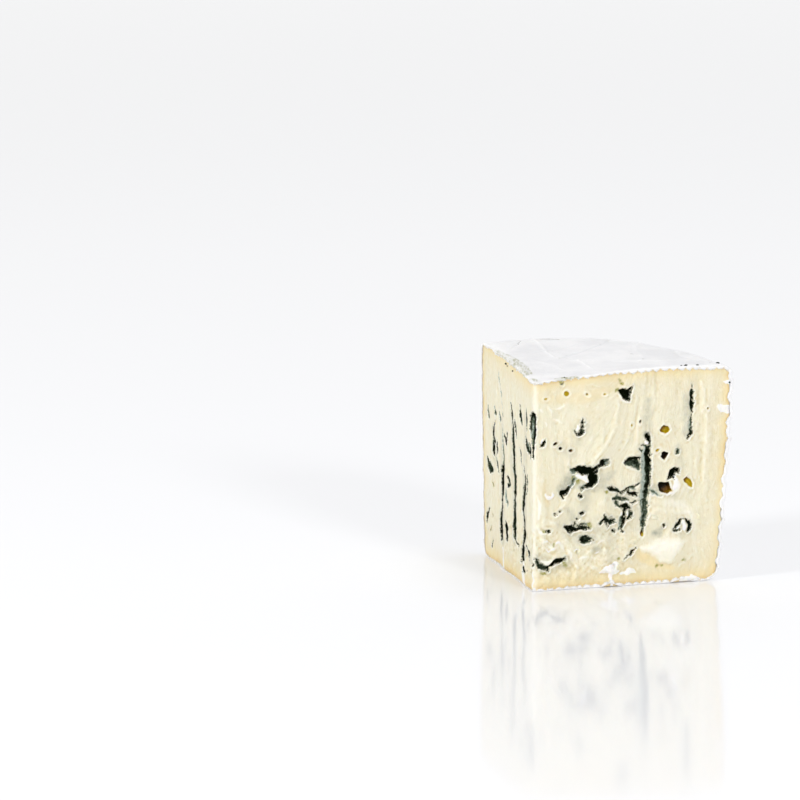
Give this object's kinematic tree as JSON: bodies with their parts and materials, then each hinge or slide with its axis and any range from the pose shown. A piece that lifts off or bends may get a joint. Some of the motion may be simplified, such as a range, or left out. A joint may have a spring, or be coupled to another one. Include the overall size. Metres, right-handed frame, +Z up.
{
  "type": "blue cheese wedge",
  "caption": "Wedge of soft blue cheese with a white mould rind on its top, back and underside, and cut faces with blue needle channels and holes.",
  "frame": {"origin": "on the plane of the flat underside, below the middle of the wedge's box", "axes": "+X from the left end of the back rind to its right end, +Y from the thin front edge to the rind at the back, +Z up"},
  "size_m": [0.1164, 0.083, 0.0931],
  "materials": {
    "paste": "moist cream-coloured soft cheese paste, slightly glossy where the knife has smeared it",
    "rind": "dry white mould rind, matt and finely creased",
    "mould": "dark blue-green mould that lines the channels and holes, matt and fuzzy"
  },
  "bodies": {
    "root": {"cheese_wedge": "paste"}
  },
  "joints": []
}
